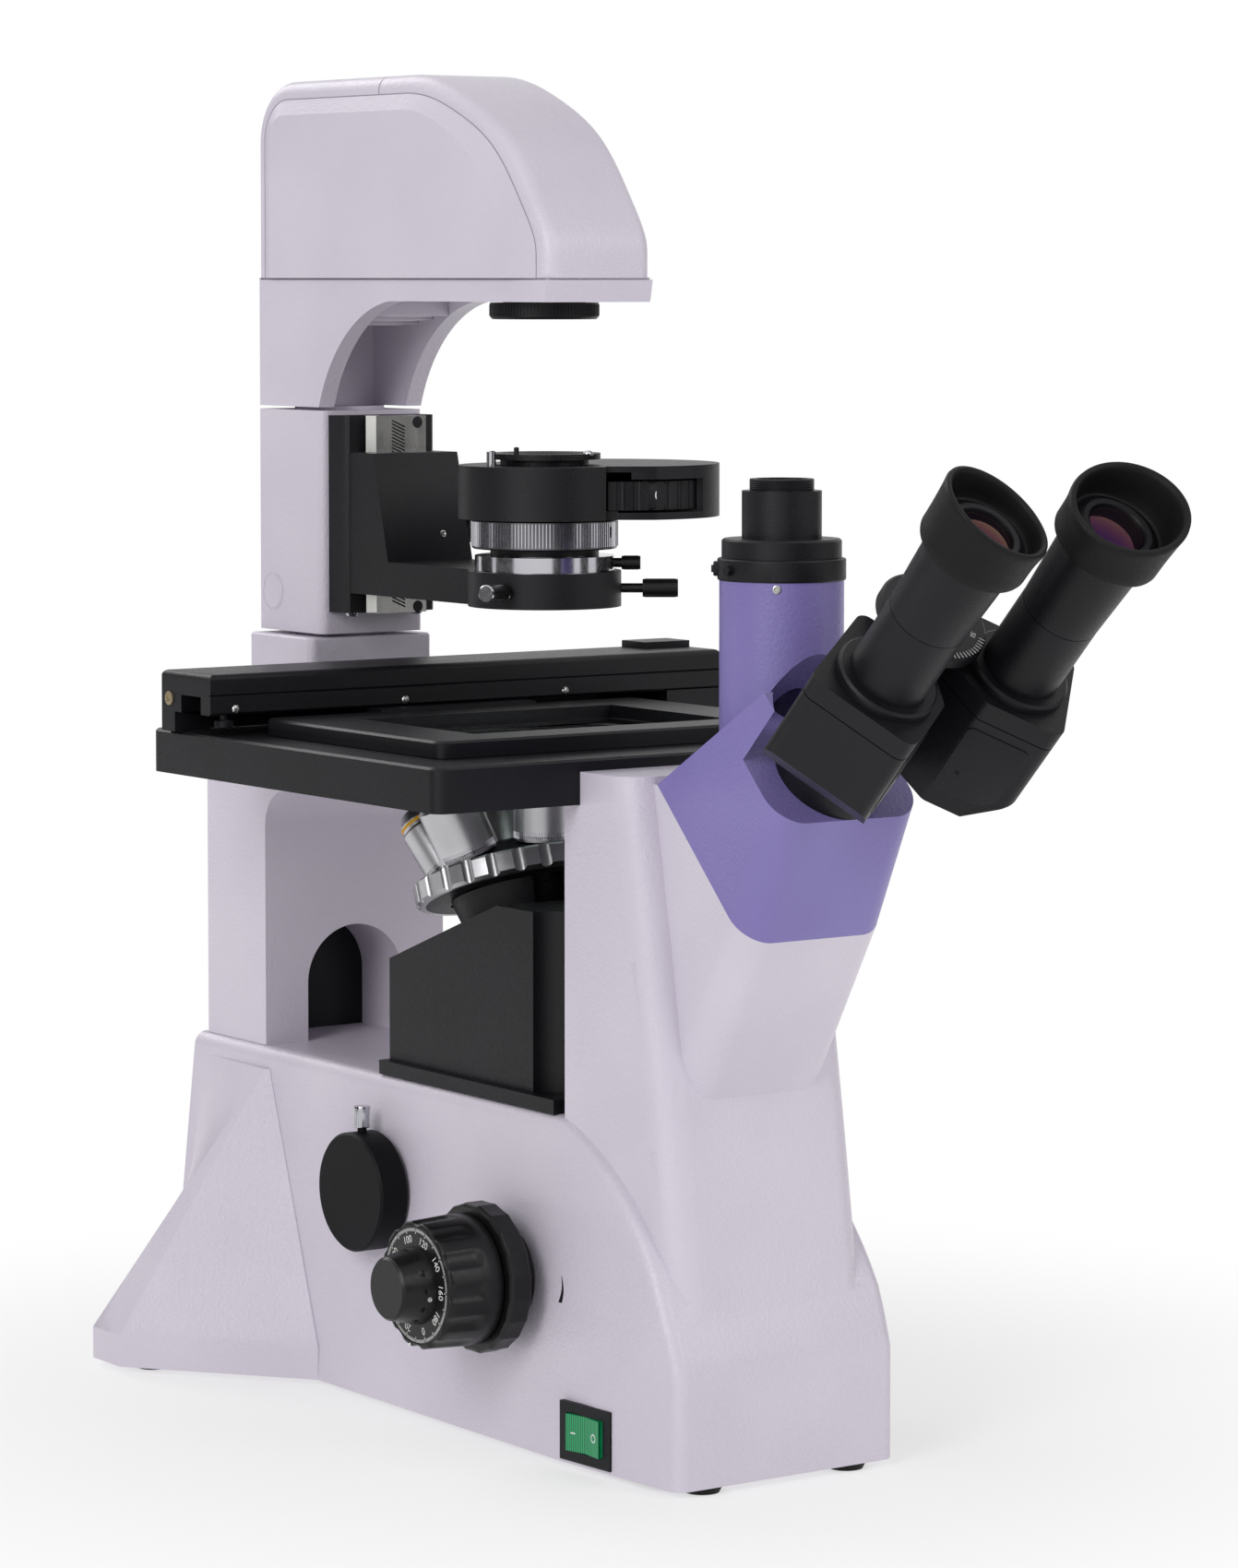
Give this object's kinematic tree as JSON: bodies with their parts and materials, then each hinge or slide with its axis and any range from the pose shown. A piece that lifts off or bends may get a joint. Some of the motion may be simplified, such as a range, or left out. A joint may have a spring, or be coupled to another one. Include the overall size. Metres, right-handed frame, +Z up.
{
  "type": "inverted microscope",
  "caption": "Inverted trinocular microscope: lamp arm, sliding condenser, mechanical stage, tilted objective turret, coaxial focus knobs, hinged binocular head and camera port.",
  "frame": {"origin": "on the underside of the base, under the axis of the working objective", "axes": "+X to the operator's right, +Y to the rear, +Z up"},
  "size_m": [0.2694, 0.5745, 0.569],
  "materials": {
    "paint": "satin",
    "head_paint": "satin",
    "black_metal": "matte",
    "black_plastic": "matte",
    "knob_plastic": "satin",
    "rubber": "matte",
    "chrome": "satin",
    "steel": "satin",
    "silver": "satin",
    "glass": "polished",
    "mirror": "polished",
    "switch_green": "gloss",
    "lamp_metal": "satin"
  },
  "bodies": {
    "stand": {"base_cover": "black_plastic", "camera_adapter": "black_metal", "camera_clamp_ring": "black_metal", "camera_tube": "head_paint", "column": "paint", "column_foot": "paint", "condenser_guide_plate": "black_metal", "condenser_rail": "steel", "focus_bushes": "black_metal", "focus_housing": "black_metal", "head_housing": "head_paint", "hinge_hub": "black_metal", "lamp_arm": "paint", "lamp_front_cover": "paint", "lamp_module": "lamp_metal", "lamp_optics": "mirror", "lamp_rear_cover": "paint", "lamp_side_panels": "paint", "main_casting": "paint", "main_mirror": "mirror", "pillar_blanking_plate": "black_plastic", "power_inlet": "black_plastic", "rear_pillar": "paint", "rubber_feet": "rubber", "stage_glass": "glass", "stage_plate": "black_metal", "stage_rail": "steel", "switch_bezel": "black_plastic"},
    "condenser": {"condenser_bracket": "black_metal", "condenser_flange": "chrome", "condenser_housing": "black_metal", "condenser_cover": "black_metal", "condenser_lens": "glass", "condenser_screws": "knob_plastic"},
    "condenser_drive": {"condenser_knob": "knob_plastic"},
    "iris": {"iris_ring": "chrome"},
    "phase_selector": {"phase_wheel": "black_metal"},
    "field_iris": {"field_ring": "black_metal"},
    "nosepiece": {"nosepiece_carriage": "black_metal"},
    "turret": {"turret_body": "black_metal", "turret_ring": "silver", "objectives": "silver"},
    "coarse_focus": {"coarse_knobs": "knob_plastic"},
    "fine_focus": {"fine_knobs": "knob_plastic"},
    "tension": {"tension_ring": "black_plastic"},
    "gantry": {"gantry_bar": "black_metal", "gantry_cover": "black_metal"},
    "holder": {"specimen_holder": "black_metal"},
    "y_drive": {"stage_y_knob": "knob_plastic"},
    "x_drive": {"stage_x_knob": "knob_plastic"},
    "side_port": {"port_cap": "black_metal"},
    "power_rocker": {"rocker": "switch_green"},
    "brightness": {"brightness_knob": "knob_plastic"},
    "light_selector": {"light_path_rod": "knob_plastic"},
    "right_arm": {"prism_box_right": "black_metal"},
    "left_arm": {"prism_box_left": "black_metal"},
    "right_eyepiece": {"eyepiece_right": "black_metal", "eyecup_right": "rubber"},
    "left_eyepiece": {"eyepiece_left": "black_metal", "eyecup_left": "rubber"}
  },
  "joints": [
    {"name": "nosepiece_focus", "type": "slide", "parent": "stand", "child": "nosepiece", "axis": [0, 0, 1], "range_m": [-0.012, 0.0065]},
    {"name": "turret_turn", "type": "hinge", "parent": "nosepiece", "child": "turret", "pos_m": [0, 0.02241, 0.22191], "axis": [0, 0.3502, 0.9367], "continuous": true},
    {"name": "coarse_turn", "type": "hinge", "parent": "stand", "child": "coarse_focus", "pos_m": [0, -0.057, 0.07], "axis": [1, 0, 0], "range_deg": [-120, 65]},
    {"name": "fine_turn", "type": "hinge", "parent": "stand", "child": "fine_focus", "pos_m": [0, -0.057, 0.07], "axis": [1, 0, 0], "continuous": true},
    {"name": "tension_turn", "type": "hinge", "parent": "stand", "child": "tension", "pos_m": [0, -0.057, 0.07], "axis": [1, 0, 0], "range_deg": [-40, 40]},
    {"name": "gantry_slide", "type": "slide", "parent": "stand", "child": "gantry", "axis": [0, 1, 0], "range_m": [-0.06, 0.015]},
    {"name": "holder_slide", "type": "slide", "parent": "gantry", "child": "holder", "axis": [1, 0, 0], "range_m": [-0.06, 0.06]},
    {"name": "stage_y_turn", "type": "hinge", "parent": "gantry", "child": "y_drive", "pos_m": [0.1355, 0.0955, 0.255], "axis": [0, 0, 1], "range_deg": [-575, 145]},
    {"name": "stage_x_turn", "type": "hinge", "parent": "gantry", "child": "x_drive", "pos_m": [0.1355, 0.0955, 0.235], "axis": [0, 0, 1], "range_deg": [-575, 575]},
    {"name": "condenser_slide", "type": "slide", "parent": "stand", "child": "condenser", "axis": [0, 0, 1], "range_m": [-0.008, 0.015]},
    {"name": "condenser_knob_turn", "type": "hinge", "parent": "condenser", "child": "condenser_drive", "pos_m": [0, 0.101, 0.3715], "axis": [1, 0, 0], "range_deg": [-216, 116]},
    {"name": "iris_turn", "type": "hinge", "parent": "condenser", "child": "iris", "pos_m": [0, 0, 0.368], "axis": [0, 0, 1], "range_deg": [-45, 45]},
    {"name": "phase_turn", "type": "hinge", "parent": "condenser", "child": "phase_selector", "pos_m": [0.03506, 0.00475, 0.385], "axis": [0, 0, 1], "continuous": true},
    {"name": "field_turn", "type": "hinge", "parent": "stand", "child": "field_iris", "pos_m": [0, 0, 0.465], "axis": [0, 0, 1], "range_deg": [-60, 60]},
    {"name": "right_arm_turn", "type": "hinge", "parent": "stand", "child": "right_arm", "pos_m": [0, -0.162, 0.248], "axis": [0, -0.7071, 0.7071], "range_deg": [-14.4, 14]},
    {"name": "left_arm_turn", "type": "hinge", "parent": "stand", "child": "left_arm", "pos_m": [0, -0.162, 0.248], "axis": [0, -0.7071, 0.7071], "range_deg": [-14, 14.4]},
    {"name": "right_eyepiece_turn", "type": "hinge", "parent": "right_arm", "child": "right_eyepiece", "pos_m": [0.032, -0.17897, 0.23103], "axis": [0, -0.7071, 0.7071], "continuous": true},
    {"name": "left_eyepiece_turn", "type": "hinge", "parent": "left_arm", "child": "left_eyepiece", "pos_m": [-0.032, -0.17897, 0.23103], "axis": [0, -0.7071, 0.7071], "continuous": true},
    {"name": "power_rock", "type": "hinge", "parent": "stand", "child": "power_rocker", "pos_m": [-0.05481, -0.1157, 0.0135], "axis": [0, 0, 1], "range_deg": [-7, 7]},
    {"name": "brightness_turn", "type": "hinge", "parent": "stand", "child": "brightness", "pos_m": [0, -0.116, 0.019], "axis": [1, 0, 0], "range_deg": [-135, 135]},
    {"name": "port_cap_pull", "type": "slide", "parent": "stand", "child": "side_port", "axis": [-1, 0, 0], "range_m": [0, 0.015]},
    {"name": "light_path_pull", "type": "slide", "parent": "stand", "child": "light_selector", "axis": [1, 0, 0], "range_m": [0, 0.01]}
  ],
  "couplings": [
    {"joint": "coarse_turn", "follows": "nosepiece_focus", "rad_per_m": 166.67},
    {"joint": "stage_y_turn", "follows": "gantry_slide", "rad_per_m": 166.67},
    {"joint": "stage_x_turn", "follows": "holder_slide", "rad_per_m": -166.67},
    {"joint": "condenser_knob_turn", "follows": "condenser_slide", "rad_per_m": -250},
    {"joint": "left_arm_turn", "follows": "right_arm_turn", "ratio": -1}
  ]
}
